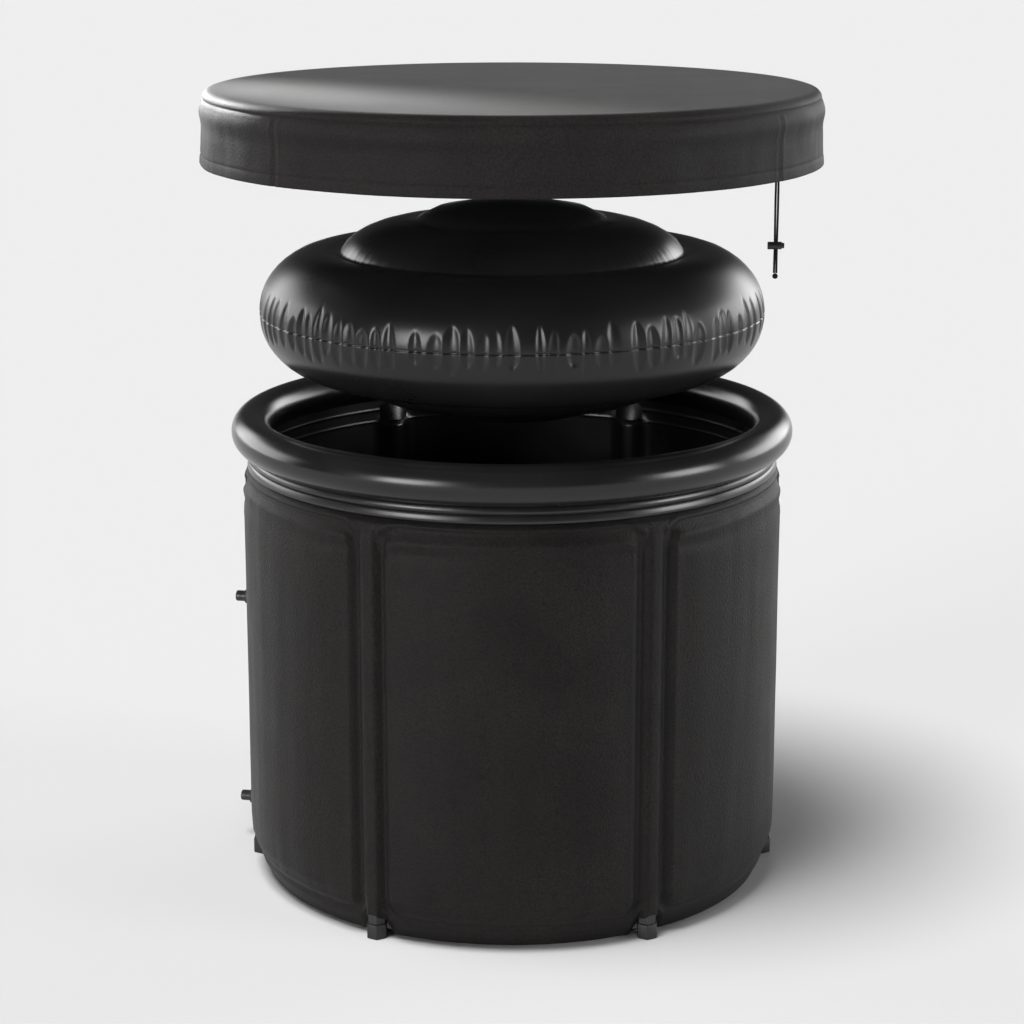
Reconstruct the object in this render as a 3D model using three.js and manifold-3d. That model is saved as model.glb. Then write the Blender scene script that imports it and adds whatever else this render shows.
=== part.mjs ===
import * as THREE from 'three';
import { mergeVertices } from 'three/addons/utils/BufferGeometryUtils.js';
import { ParametricGeometry } from 'three/addons/geometries/ParametricGeometry.js';
import Module from 'manifold-3d';

const wasm = await Module();
wasm.setup();

// Cold plunge tub, shown opened: lid and cover are lifted off the rim.
// Lengths in millimetres, angles in degrees. The tub stands on z = 0 and its front faces -Y.
// Azimuths are counted from the front towards +X.

// Overall
const TUB_HEIGHT = 750;
const WALL_RADIUS = 425;
const CLEARANCE = 0.3;

// Inflated rim
const RIM_TUBE = 31;
const RIM_OVERHANG = 18;
const RIM_SKIN = 1.2;
const RIM_SIDES = 10;

// Padded wall
const JACKET_CLOTH = 1.6;
const FOAM_THICKNESS = 12;
const FOAM_DROP = 10;
const LINER_SKIN = 1.2;
const COLLAR_HEIGHT = 29;
const COLLAR_SKIN = 1.8;
const SHOULDER_INSET = 10;
const GROOVE_DEPTH = 11;
const GROOVE_FADE = 40;
const BASE_INSET = 24;
const BASE_TAPER = 62;
const FLOOR_GAP = 5;
const LIP_WIDTH = 16;
const BASE_FOAM = 11;

// Poles, in sleeves between the panels
const POLE_COUNT = 6;
const POLE_SIDE = 14.5;
const POLE_WALL = 2;
const POLE_TOP_DROP = 20;
const FOOT_SIDE = 17;
const FOOT_HEIGHT = 24;
const FOOT_FLOOR = 8;
const NOTCH_MARGIN = 4;
const PLUG_HEAD = 8;
const PLUG_DEPTH = 20;
const SLEEVE_MARGIN = 0.8;
const GROOVE_MARGIN = 1.6;
const PANEL_MARGIN = 13;
const PANEL_STEPS = 6;

// Hose ports through the wall
const PORT_HEIGHT = 415;
const DRAIN_HEIGHT = 68;
const PORT_TUBE = 6.5;
const PORT_BORE = 4.5;
const PORT_HEAD = 14;
const PORT_HEAD_THICKNESS = 4;
const GASKET_THICKNESS = 2;
const NUT_SIDE = 13.5;
const NUT_THICKNESS = 5.5;
const CAP_SKIRT_RADIUS = 12.2;
const CAP_SKIRT = 12.5;
const CAP_NOSE_RADIUS = 8.75;
const CAP_NOSE = 16;
const CAP_END = 3;

// Air valves
const VALVE_FLANGE = 10;
const VALVE_FLANGE_THICKNESS = 1.5;
const VALVE_TUBE = 4.7;
const VALVE_TUBE_DEPTH = 6;
const VALVE_STEM = 6;
const VALVE_STEM_HEIGHT = 5.5;
const VALVE_BORE = 3;
const PLUG_CAP = 7.5;
const PLUG_CAP_THICKNESS = 2;
const PLUG_PIN_LENGTH = 5;

// Inflated lid
const LID_RAISED = 156;
const LID_RADIUS = 395;
const LID_TUBE = 96;
const LID_SKIN = 1.2;
const LID_CREASE = 268;
const LID_TIER = 148;
const LID_TIER_HEIGHT = 50.4;
const LID_CROWN_HEIGHT = 30;
const LID_WEB = 1.2;

// Cloth cover
const COVER_RAISED = 389;
const COVER_HEIGHT = 113;
const COVER_TOP_RADIUS = 473;
const COVER_FLARE = 7;
const COVER_CLOTH = 1.6;
const COVER_CORNER = 12;
const HEM_HEIGHT = 17;
const HEM_CLOTH = 1.2;
const LEFT_SEAM_FACET = -5;
const RIGHT_SEAM_FACET = 6;

// Drawcord and its lock
const CORD_RADIUS = 1.6;
const CORD_GAP = 0.3;
const CHANNEL_GAP = 0.6;
const TAIL_DROP = 142;
const LOCK_DROP = 93;
const LOCK_WALL = 1.3;
const LOCK_TRAVEL = 3;
const LOCK_SPRING_ROOM = 5;
const PLUNGER_RADIUS = 4;
const PLUNGER_END = 1.8;
const BUTTON_REST = 0.6;
const SPRING_WIRE = 0.45;
const SPRING_TURNS = 2.5;
const KNOT_RADIUS = 4.2;

// Facets of the round pieces
const ROUND_FACETS = 40;
const BASE_FACETS = 36;
const SMALL_FACETS = 12;

// Levels and radii that follow from the sizes above
const RAD = Math.PI / 180;
const HEX = Math.cos(30 * RAD);
const RIM_RADIUS = WALL_RADIUS + RIM_OVERHANG - RIM_TUBE;
const RIM_Z = TUB_HEIGHT - RIM_TUBE;
const RIM_UNDER = RIM_Z - RIM_TUBE * Math.cos(Math.PI / RIM_SIDES);
const WALL_TOP = RIM_UNDER - CLEARANCE;
const JACKET_TOP = RIM_UNDER - COLLAR_HEIGHT;
const POLE_TOP = JACKET_TOP - POLE_TOP_DROP;
const COLLAR_BOTTOM = POLE_TOP + CLEARANCE;
const FOAM_TOP = POLE_TOP - FOAM_DROP;
const COLLAR_RADIUS = WALL_RADIUS - SHOULDER_INSET - JACKET_CLOTH - CLEARANCE;
const LINER_TOP_RADIUS = COLLAR_RADIUS - COLLAR_SKIN - CLEARANCE;
const LINER_RADIUS = WALL_RADIUS - JACKET_CLOTH - FOAM_THICKNESS - 2 * CLEARANCE;
const POLE_CIRCLE = WALL_RADIUS - JACKET_CLOTH - CLEARANCE - POLE_SIDE * HEX;
const BULGE_RADIUS = POLE_CIRCLE - FOOT_SIDE * HEX - CLEARANCE;
const BASE_EDGE = WALL_RADIUS - BASE_INSET;
const SHEET_Z = FLOOR_GAP + JACKET_CLOTH + CLEARANCE;
const PAD_Z = SHEET_Z + JACKET_CLOTH + CLEARANCE;
const LINER_Z = PAD_Z + BASE_FOAM + CLEARANCE;
const BASE_RADIUS = BULGE_RADIUS - CLEARANCE;
const PORT_AZIMUTH = (360 / POLE_COUNT) * (POLE_COUNT - 1.5) - 360 / POLE_COUNT / PANEL_STEPS;
const LID_Z = TUB_HEIGHT + LID_RAISED;
const COVER_Z = TUB_HEIGHT + COVER_RAISED;
const COVER_TOP_Z = COVER_Z + COVER_HEIGHT;
const COVER_HEM_RADIUS = COVER_TOP_RADIUS + COVER_FLARE;
const CORD_AZIMUTH = (RIGHT_SEAM_FACET * 360) / ROUND_FACETS;

// Solids and placing

const toSolid = (geometry) => {
  const bare = new THREE.BufferGeometry();
  bare.setAttribute('position', geometry.getAttribute('position').clone());
  if (geometry.index) bare.setIndex(geometry.index.clone());
  const merged = mergeVertices(bare, 1e-4);
  const index = merged.index.array;
  const corners = [];
  for (let i = 0; i < index.length; i += 3) {
    const [a, b, c] = [index[i], index[i + 1], index[i + 2]];
    if (a !== b && b !== c && c !== a) corners.push(a, b, c);
  }
  const mesh = new wasm.Mesh({
    numProp: 3,
    vertProperties: Float32Array.from(merged.getAttribute('position').array),
    triVerts: Uint32Array.from(corners),
  });
  return new wasm.Manifold(mesh);
};

const toGeometry = (solid) => {
  const mesh = solid.getMesh();
  const geometry = new THREE.BufferGeometry();
  geometry.setAttribute('position', new THREE.BufferAttribute(mesh.vertProperties, 3));
  geometry.setIndex(new THREE.BufferAttribute(mesh.triVerts, 1));
  geometry.computeVertexNormals();
  return geometry;
};

const part = new THREE.Group();

const add = (name, solid, color, roughness) => {
  const material = new THREE.MeshStandardMaterial({ color, roughness });
  const mesh = new THREE.Mesh(toGeometry(solid), material);
  mesh.name = name;
  part.add(mesh);
};

// A turned solid about Z. A profile runs upwards on its outside, as [radius, height] pairs.
const turned = (profile, facets) => {
  const points = profile.map(([r, z]) => new THREE.Vector2(r, z));
  return new THREE.LatheGeometry(points, facets).rotateX(Math.PI / 2);
};

const turnedLoop = (profile, facets) => turned([...profile, profile[0]], facets);

const disc = (radius, low, high, facets) =>
  turned([[0, low], [radius, low], [radius, high], [0, high]], facets);

const tube = (inner, outer, low, high, facets) =>
  turnedLoop([[inner, low], [outer, low], [outer, high], [inner, high]], facets);

// Turns a piece made along Z to point outwards at an azimuth, at a height.
const outwards = (geometry, azimuth, height) =>
  geometry.rotateY(Math.PI / 2).rotateZ((azimuth - 90) * RAD).translate(0, 0, height);

const at = (radius, azimuth) => [radius * Math.sin(azimuth * RAD), -radius * Math.cos(azimuth * RAD)];

const hexagon = (side) => {
  const shape = new THREE.Shape();
  for (let i = 0; i < 6; i += 1) {
    const angle = (30 + 60 * i) * RAD;
    const step = i === 0 ? 'moveTo' : 'lineTo';
    shape[step](side * Math.cos(angle), side * Math.sin(angle));
  }
  shape.closePath();
  return shape;
};

const prism = (shape, low, high) =>
  new THREE.ExtrudeGeometry(shape, { depth: high - low, bevelEnabled: false }).translate(0, 0, low);

// A sector of the full circle, as a tall prism that cuts panels out of a ring.
const sector = (from, to, reach, low, high) => {
  const shape = new THREE.Shape();
  shape.moveTo(0, 0);
  const steps = 8;
  for (let i = 0; i <= steps; i += 1) {
    const [x, y] = at(reach, from + ((to - from) * i) / steps);
    shape.lineTo(x, y);
  }
  shape.closePath();
  return prism(shape, low, high);
};

// Moves a profile, from its outer edge to the axis, inwards by a skin's thickness.
const inside = (profile, skin) =>
  profile.map(([r, z], i) => {
    const before = profile[Math.max(i - 1, 0)];
    const after = profile[Math.min(i + 1, profile.length - 1)];
    const normal = (a, b) => new THREE.Vector2(b[1] - a[1], a[0] - b[0]).normalize();
    const first = i === 0 ? normal(profile[0], after) : normal(before, profile[i]);
    const last = i === profile.length - 1 ? first : normal(profile[i], after);
    const middle = first.clone().add(last);
    const share = skin / (1 + first.dot(last));
    const inner = r === 0 ? 0 : r - middle.x * share;
    return [inner, r === 0 ? z - skin : z - middle.y * share];
  });

// The wall is drawn at stations round the tub, closer together at each pole
const SECTOR = 360 / POLE_COUNT;
const spread = (distance) => Math.atan(distance / POLE_CIRCLE) / RAD;
const SLEEVE_EDGE = spread(FOOT_SIDE / 2 + SLEEVE_MARGIN);
const GROOVE_MIDDLE = spread(FOOT_SIDE + GROOVE_MARGIN);
const PANEL_EDGE = spread(FOOT_SIDE + PANEL_MARGIN);

const poleAzimuths = [];
const stations = [];
for (let pole = 0; pole < POLE_COUNT; pole += 1) {
  const start = SECTOR * (pole + 0.5);
  poleAzimuths.push(start);
  stations.push({ azimuth: start, zone: 'sleeve' });
  stations.push({ azimuth: start + SLEEVE_EDGE, zone: 'sleeve' });
  stations.push({ azimuth: start + GROOVE_MIDDLE, zone: 'groove' });
  stations.push({ azimuth: start + PANEL_EDGE, zone: 'panel' });
  for (let step = 1; step < PANEL_STEPS; step += 1) {
    stations.push({ azimuth: start + (SECTOR * step) / PANEL_STEPS, zone: 'panel' });
  }
  stations.push({ azimuth: start + SECTOR - PANEL_EDGE, zone: 'panel' });
  stations.push({ azimuth: start + SECTOR - GROOVE_MIDDLE, zone: 'groove' });
  stations.push({ azimuth: start + SECTOR - SLEEVE_EDGE, zone: 'sleeve' });
}

// A ring whose section, a closed loop or one that ends on the axis, changes with the station.
const round = (sectionAt, closed) => {
  const sections = stations.map((station) => sectionAt(station.zone));
  const rows = closed ? sections[0].length : sections[0].length - 1;
  const place = (u, v, target) => {
    const station = Math.round(u * stations.length) % stations.length;
    const row = Math.round(v * rows) % sections[0].length;
    const [r, z] = sections[station][row];
    const [x, y] = at(r, stations[station].azimuth);
    target.set(x, y, z);
  };
  return new ParametricGeometry(place, stations.length, rows);
};

// Outside of the wall: height, how far the panel stands in, and how deep the groove is.
const taper = (share) => FLOOR_GAP + BASE_TAPER * share;
const SHOULDER_Z = POLE_TOP + CLEARANCE;
const wallRows = [
  { z: taper(0), inset: BASE_INSET, groove: 0, sleeve: false },
  { z: taper(0.27), inset: BASE_INSET * 0.68, groove: 0, sleeve: true },
  { z: taper(0.6), inset: BASE_INSET * 0.32, groove: 1, sleeve: true },
  { z: taper(1), inset: 0, groove: 1, sleeve: true },
  { z: POLE_TOP - GROOVE_FADE, inset: 0, groove: 1, sleeve: true },
  { z: SHOULDER_Z, inset: 0, groove: 0.4, sleeve: true },
  { z: SHOULDER_Z + (JACKET_TOP - SHOULDER_Z) * 0.6, inset: SHOULDER_INSET * 0.35, groove: 0, sleeve: false },
  { z: JACKET_TOP, inset: SHOULDER_INSET, groove: 0, sleeve: false },
];

const wallRadius = (row, zone) => {
  const panel = WALL_RADIUS - row.inset;
  if (zone === 'sleeve' && row.sleeve) return WALL_RADIUS;
  if (zone === 'groove' && row.groove > 0) {
    const floor = LINER_RADIUS + JACKET_CLOTH + CLEARANCE;
    return Math.max(panel - GROOVE_DEPTH * row.groove, floor);
  }
  return panel;
};

const jacketSection = (zone) => {
  const outer = wallRows.map((row) => [wallRadius(row, zone), row.z]);
  const inner = outer.map(([r, z]) => [r - JACKET_CLOTH, z]).reverse();
  inner[inner.length - 1][1] += JACKET_CLOTH;
  const lip = BASE_EDGE - LIP_WIDTH;
  return [...outer, ...inner, [lip, FLOOR_GAP + JACKET_CLOTH], [lip, FLOOR_GAP]];
};

const linerSection = (zone) => {
  const bulge = (r) => (zone === 'sleeve' ? Math.min(r, BULGE_RADIUS) : r);
  const outer = [
    [0, LINER_Z],
    [bulge(BASE_EDGE - JACKET_CLOTH - 2 * CLEARANCE - LINER_SKIN), LINER_Z],
    [bulge(LINER_RADIUS), taper(0.6)],
    [bulge(LINER_RADIUS), FOAM_TOP + CLEARANCE],
    [bulge(LINER_TOP_RADIUS), POLE_TOP],
    [LINER_TOP_RADIUS, WALL_TOP],
  ];
  const inner = outer.map(([r, z]) => [Math.max(r - LINER_SKIN, 0), z]).reverse();
  inner[inner.length - 1][1] += LINER_SKIN;
  inner[inner.length - 2][1] += LINER_SKIN;
  return [...outer, ...inner];
};

const foamSection = () => {
  const gap = JACKET_CLOTH + CLEARANCE;
  const inner = LINER_RADIUS + CLEARANCE;
  const low = wallRows[2];
  const knee = wallRows[3];
  return [
    [inner, low.z],
    [WALL_RADIUS - low.inset - gap, low.z],
    [WALL_RADIUS - knee.inset - gap, knee.z],
    [WALL_RADIUS - knee.inset - gap, FOAM_TOP],
    [inner, FOAM_TOP],
  ];
};

const collarSection = () => [
  [COLLAR_RADIUS - COLLAR_SKIN, COLLAR_BOTTOM],
  [COLLAR_RADIUS, COLLAR_BOTTOM],
  [COLLAR_RADIUS, WALL_TOP],
  [COLLAR_RADIUS - COLLAR_SKIN, WALL_TOP],
];

// Ports: what passes the wall, and what it leaves in the wall
const portHeights = { upper_port: PORT_HEIGHT, drain_port: DRAIN_HEIGHT };
const boreThrough = (height) =>
  toSolid(outwards(disc(PORT_TUBE + CLEARANCE, LINER_RADIUS / 2, WALL_RADIUS * 2, SMALL_FACETS), PORT_AZIMUTH, height));
const portBores = Object.values(portHeights).map(boreThrough);
const drilled = (solid) => portBores.reduce((rest, bore) => rest.subtract(bore), solid);

// Jacket, with a notch for each foot
let jacket = drilled(toSolid(round(jacketSection, true)));
for (const azimuth of poleAzimuths) {
  const [x, y] = at(POLE_CIRCLE, azimuth);
  const notch = disc(FOOT_SIDE + NOTCH_MARGIN, -FLOOR_GAP, FOOT_HEIGHT + NOTCH_MARGIN, SMALL_FACETS);
  jacket = jacket.subtract(toSolid(notch.translate(x, y, 0)));
}
add('wall_jacket', jacket, 0x262424, 0.8);

// Foam pad in each panel
const foamRing = drilled(toSolid(round(foamSection, true)));
for (let panel = 0; panel < POLE_COUNT; panel += 1) {
  const start = poleAzimuths[panel];
  const cut = sector(start + PANEL_EDGE, start + SECTOR - PANEL_EDGE, WALL_RADIUS * 2, 0, TUB_HEIGHT);
  add(`foam_pad_${panel + 1}`, foamRing.intersect(toSolid(cut)), 0xc9ccce, 0.9);
}

// Liner, floor pad, bottom sheet and collar
add('inner_liner', drilled(toSolid(round(linerSection, false))), 0x161617, 0.35);
add('floor_pad', toSolid(disc(BASE_RADIUS, PAD_Z, PAD_Z + BASE_FOAM, BASE_FACETS)), 0xc9ccce, 0.9);
add('bottom_sheet', toSolid(disc(BASE_RADIUS, SHEET_Z, SHEET_Z + JACKET_CLOTH, BASE_FACETS)), 0x262424, 0.8);
add('collar_band', toSolid(round(collarSection, true)), 0x1b1b1c, 0.3);

// Six poles, each with a foot below and a plug on top
const foot = toSolid(prism(hexagon(FOOT_SIDE), 0, FOOT_HEIGHT));
const socketSide = POLE_SIDE + CLEARANCE / HEX;
const socket = toSolid(prism(hexagon(socketSide), FOOT_FLOOR, FOOT_HEIGHT + FOOT_FLOOR));
const poleLow = FOOT_FLOOR + CLEARANCE;
const poleHigh = POLE_TOP - PLUG_HEAD - CLEARANCE;
const boreSide = POLE_SIDE - POLE_WALL / HEX;
const pole = toSolid(prism(hexagon(POLE_SIDE), poleLow, poleHigh));
const poleBore = toSolid(prism(hexagon(boreSide), 0, TUB_HEIGHT));
const plugHead = toSolid(prism(hexagon(POLE_SIDE), POLE_TOP - PLUG_HEAD, POLE_TOP));
const plugShank = toSolid(prism(hexagon(boreSide - CLEARANCE / HEX), poleHigh - PLUG_DEPTH, POLE_TOP - CLEARANCE));
const poleParts = [
  ['foot', foot.subtract(socket), 0x1a1a1b, 0.7],
  ['pole', pole.subtract(poleBore), 0x2b2b2d, 0.5],
  ['pole_plug', plugHead.add(plugShank), 0x1a1a1b, 0.6],
];
poleAzimuths.forEach((azimuth, index) => {
  const [x, y] = at(POLE_CIRCLE, azimuth);
  for (const [name, solid, color, roughness] of poleParts) {
    const turn = toGeometry(solid).rotateZ((azimuth - 90) * RAD).translate(x, y, 0);
    add(`${name}_${index + 1}`, toSolid(turn), color, roughness);
  }
});

// Ports: a head and gasket inside the liner, a nut on the jacket, and a screw cap
const facetTilt = Math.tan(((SECTOR / PANEL_STEPS) / 2) * RAD);
const gasketOut = LINER_RADIUS - LINER_SKIN - PORT_HEAD * facetTilt - CLEARANCE;
const gasketIn = gasketOut - GASKET_THICKNESS;
const headOut = gasketIn - CLEARANCE;
const headIn = headOut - PORT_HEAD_THICKNESS;
const nutIn = WALL_RADIUS + CLEARANCE;
const nutOut = nutIn + NUT_THICKNESS;
const capIn = nutOut + CLEARANCE;
const capStep = capIn + CAP_SKIRT;
const capOut = capStep + CAP_NOSE;
const tubeOut = capOut - CAP_END - CLEARANCE;
const portBody = [
  [PORT_BORE, headIn],
  [PORT_HEAD, headIn],
  [PORT_HEAD, headOut],
  [PORT_TUBE, headOut],
  [PORT_TUBE, tubeOut],
  [PORT_BORE, tubeOut],
];
const capProfile = [
  [PORT_TUBE + CLEARANCE, capIn],
  [CAP_SKIRT_RADIUS, capIn],
  [CAP_SKIRT_RADIUS, capStep],
  [CAP_NOSE_RADIUS, capStep],
  [CAP_NOSE_RADIUS, capOut],
  [0, capOut],
];
for (const [name, height] of Object.entries(portHeights)) {
  const set = (geometry) => toSolid(outwards(geometry, PORT_AZIMUTH, height));
  const nut = set(prism(hexagon(NUT_SIDE), nutIn, nutOut));
  const nutBore = set(disc(PORT_TUBE + CLEARANCE, headIn, capOut, SMALL_FACETS));
  const gasket = tube(PORT_TUBE + CLEARANCE, PORT_HEAD, gasketIn, gasketOut, SMALL_FACETS);
  const cap = [[0, capOut - CAP_END], [PORT_TUBE + CLEARANCE, capOut - CAP_END], ...capProfile];
  add(`${name}_body`, set(turnedLoop(portBody, SMALL_FACETS)), 0x151516, 0.5);
  add(`${name}_gasket`, set(gasket), 0x0e0e0e, 0.8);
  add(`${name}_nut`, nut.subtract(nutBore), 0x151516, 0.5);
  add(`${name}_cap`, set(turned(cap, SMALL_FACETS)), 0x121213, 0.45);
}

// Air valves, made along Z from the skin they stand on
const stemTop = VALVE_FLANGE_THICKNESS + VALVE_STEM_HEIGHT;
const plugLow = stemTop + CLEARANCE;
const valveBody = () =>
  turnedLoop([
    [VALVE_BORE, -VALVE_TUBE_DEPTH],
    [VALVE_TUBE, -VALVE_TUBE_DEPTH],
    [VALVE_TUBE, 0],
    [VALVE_FLANGE, 0],
    [VALVE_FLANGE, VALVE_FLANGE_THICKNESS],
    [VALVE_STEM, VALVE_FLANGE_THICKNESS],
    [VALVE_STEM, stemTop],
    [VALVE_BORE, stemTop],
  ], SMALL_FACETS);
const valvePlug = () =>
  turned([
    [0, plugLow - PLUG_PIN_LENGTH],
    [VALVE_BORE - CLEARANCE, plugLow - PLUG_PIN_LENGTH],
    [VALVE_BORE - CLEARANCE, plugLow],
    [PLUG_CAP, plugLow],
    [PLUG_CAP, plugLow + PLUG_CAP_THICKNESS],
    [0, plugLow + PLUG_CAP_THICKNESS],
  ], SMALL_FACETS);
const valveHole = () => disc(VALVE_TUBE + CLEARANCE, -RIM_TUBE / 2, RIM_TUBE / 2, SMALL_FACETS);

// Inflated rim: a hollow ring with its valve at the back
const rimSection = (radius) => {
  const points = [];
  for (let i = 0; i < RIM_SIDES; i += 1) {
    const angle = -Math.PI / 2 + (Math.PI * (2 * i + 1)) / RIM_SIDES;
    points.push([RIM_RADIUS + radius * Math.cos(angle), RIM_Z + radius * Math.sin(angle)]);
  }
  return points;
};
const rimOut = RIM_RADIUS + RIM_TUBE;
const onRim = (geometry, lift) => toSolid(outwards(geometry.translate(0, 0, rimOut + lift), 180, RIM_Z));
const rim = toSolid(turnedLoop(rimSection(RIM_TUBE), ROUND_FACETS));
const rimAir = toSolid(turnedLoop(rimSection(RIM_TUBE - RIM_SKIN), ROUND_FACETS));
add('rim_ring', rim.subtract(rimAir).subtract(onRim(valveHole(), 0)), 0x1b1b1c, 0.3);
add('rim_valve_body', onRim(valveBody(), CLEARANCE), 0x202022, 0.5);
add('rim_valve_plug', onRim(valvePlug(), CLEARANCE), 0x202022, 0.5);

// Inflated lid: two skins that meet at the equator, and two webs that hold the creases
const lidProfile = [];
const lidMiddle = LID_RADIUS - LID_TUBE;
const creaseAngle = Math.acos((LID_CREASE - lidMiddle) / LID_TUBE) / RAD;
for (const angle of [0, 22.5, 45, 67.5, 90, creaseAngle]) {
  const r = lidMiddle + LID_TUBE * Math.cos(angle * RAD);
  const z = Math.max(LID_TUBE * Math.sin(angle * RAD), CLEARANCE / 2);
  lidProfile.push([r, z]);
}
const creaseIndex = lidProfile.length - 1;
const creaseZ = lidProfile[creaseIndex][1];
for (const angle of [25, 50, 70, 90]) {
  const r = LID_CREASE - (LID_CREASE - LID_TIER) * (1 - Math.cos(angle * RAD));
  lidProfile.push([r, creaseZ + LID_TIER_HEIGHT * Math.sin(angle * RAD)]);
}
const tierIndex = lidProfile.length - 1;
const tierZ = lidProfile[tierIndex][1];
for (const angle of [30, 60]) {
  lidProfile.push([LID_TIER * Math.cos(angle * RAD), tierZ + LID_CROWN_HEIGHT * Math.sin(angle * RAD)]);
}
lidProfile.push([0, tierZ + LID_CROWN_HEIGHT]);
const lidInside = inside(lidProfile, LID_SKIN);
lidInside[0] = [LID_RADIUS - LID_SKIN, lidProfile[0][1]];
const lidHalf = toSolid(turned([...[...lidInside].reverse(), ...lidProfile], ROUND_FACETS));
const raised = (solid, turn, z) => toSolid(toGeometry(solid).rotateX(turn).translate(0, 0, z));
const [valveX, valveY] = at(lidMiddle, 180);
const onLid = (geometry, lift) => toSolid(geometry.translate(valveX, valveY, LID_Z + LID_TUBE + lift));
add('lid_top_skin', raised(lidHalf, 0, LID_Z).subtract(onLid(valveHole(), 0)), 0x151516, 0.3);
add('lid_bottom_skin', raised(lidHalf, Math.PI, LID_Z), 0x151516, 0.3);
const web = ([r, z]) => {
  const half = z - CLEARANCE;
  return toSolid(tube(r - LID_WEB / 2, r + LID_WEB / 2, LID_Z - half, LID_Z + half, ROUND_FACETS));
};
add('lid_outer_web', web(lidInside[creaseIndex]), 0x2a2a2c, 0.5);
add('lid_inner_web', web(lidInside[tierIndex]), 0x2a2a2c, 0.5);
add('lid_valve_body', onLid(valveBody(), CLEARANCE), 0x202022, 0.5);
add('lid_valve_plug', onLid(valvePlug(), CLEARANCE), 0x202022, 0.5);

// Cloth cover: round top, a skirt in two strips, and a folded hem that holds the drawcord
const coverTurn = COVER_CORNER * (1 - Math.SQRT1_2);
const coverEdgeZ = COVER_TOP_Z - COVER_CORNER;
const coverTop = [
  [COVER_TOP_RADIUS, coverEdgeZ],
  [COVER_TOP_RADIUS - coverTurn, COVER_TOP_Z - coverTurn],
  [COVER_TOP_RADIUS - COVER_CORNER, COVER_TOP_Z],
  [0, COVER_TOP_Z],
];
const coverInside = inside(coverTop, COVER_CLOTH).reverse();
coverInside[coverInside.length - 1][1] = coverEdgeZ;
add('cover_top', toSolid(turned([...coverInside, ...coverTop], ROUND_FACETS)), 0x3a3635, 0.9);

const skirtTop = coverEdgeZ - CLEARANCE;
const skirtSlope = (COVER_HEM_RADIUS - COVER_TOP_RADIUS) / (skirtTop - COVER_Z);
const skirtInside = (lift) => COVER_HEM_RADIUS - COVER_CLOTH - skirtSlope * lift;
const skirt = toSolid(turnedLoop([
  [COVER_HEM_RADIUS - COVER_CLOTH, COVER_Z],
  [COVER_HEM_RADIUS, COVER_Z],
  [COVER_TOP_RADIUS, skirtTop],
  [COVER_TOP_RADIUS - COVER_CLOTH, skirtTop],
], ROUND_FACETS));
const FACET = 360 / ROUND_FACETS;
const seamGap = (CLEARANCE / COVER_HEM_RADIUS / 2) / RAD;
const leftSeam = LEFT_SEAM_FACET * FACET;
const rightSeam = RIGHT_SEAM_FACET * FACET;
const strip = (from, to) => toSolid(sector(from, to, COVER_HEM_RADIUS * 2, 0, COVER_TOP_Z * 2));
add('cover_skirt_front', skirt.intersect(strip(leftSeam + seamGap, rightSeam - seamGap)), 0x2a2827, 0.9);
add('cover_skirt_back', skirt.subtract(strip(leftSeam - seamGap, rightSeam + seamGap)), 0x2a2827, 0.9);

const cordRing = skirtInside(HEM_HEIGHT / 2) - CHANNEL_GAP - CORD_RADIUS;
const hemWall = cordRing - CORD_RADIUS - CHANNEL_GAP;
const hemOut = (lift) => skirtInside(lift) - CLEARANCE;
const hem = toSolid(turnedLoop([
  [hemWall - HEM_CLOTH, COVER_Z],
  [hemOut(0), COVER_Z],
  [hemOut(HEM_CLOTH), COVER_Z + HEM_CLOTH],
  [hemWall, COVER_Z + HEM_CLOTH],
  [hemWall, COVER_Z + HEM_HEIGHT - HEM_CLOTH],
  [hemOut(HEM_HEIGHT - HEM_CLOTH), COVER_Z + HEM_HEIGHT - HEM_CLOTH],
  [hemOut(HEM_HEIGHT), COVER_Z + HEM_HEIGHT],
  [hemWall - HEM_CLOTH, COVER_Z + HEM_HEIGHT],
], ROUND_FACETS));
const cordZ = COVER_Z + HEM_HEIGHT / 2;
const tailTop = cordZ - CORD_RADIUS - CLEARANCE;
const tailSpread = CORD_RADIUS + CORD_GAP / 2;
const tailReach = tailSpread + CORD_RADIUS;
const [tailX, tailY] = at(cordRing - tailSpread * Math.sin(CORD_AZIMUTH * RAD), CORD_AZIMUTH);
const tailGate = disc(tailReach + CHANNEL_GAP, COVER_Z - HEM_CLOTH, tailTop + CLEARANCE, SMALL_FACETS);
add('cover_hem', hem.subtract(toSolid(tailGate.translate(tailX, tailY, 0))), 0x2a2827, 0.9);

const cordSection = [];
for (let i = 0; i < 6; i += 1) {
  const angle = (i * Math.PI) / 3;
  cordSection.push([cordRing + CORD_RADIUS * Math.cos(angle), cordZ + CORD_RADIUS * Math.sin(angle)]);
}
add('hem_drawcord', toSolid(turnedLoop(cordSection, ROUND_FACETS)), 0x161616, 0.9);

// Drawcord tails, hanging from the hem to a knot
const knotZ = COVER_Z - TAIL_DROP + KNOT_RADIUS;
const tailLow = knotZ + KNOT_RADIUS + CLEARANCE;
const cordShape = new THREE.Shape();
for (let i = 0; i < 8; i += 1) {
  const angle = (i * Math.PI) / 4;
  const step = i === 0 ? 'moveTo' : 'lineTo';
  cordShape[step](CORD_RADIUS * Math.cos(angle), CORD_RADIUS * Math.sin(angle));
}
cordShape.closePath();
[-1, 1].forEach((side, index) => {
  const x = tailX + side * tailSpread;
  const path = new THREE.LineCurve3(new THREE.Vector3(x, tailY, tailTop), new THREE.Vector3(x, tailY, tailLow));
  const geometry = new THREE.ExtrudeGeometry(cordShape, { steps: 16, extrudePath: path, bevelEnabled: false });
  add(`drawcord_tail_${index + 1}`, toSolid(geometry), 0x161616, 0.9);
});
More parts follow.
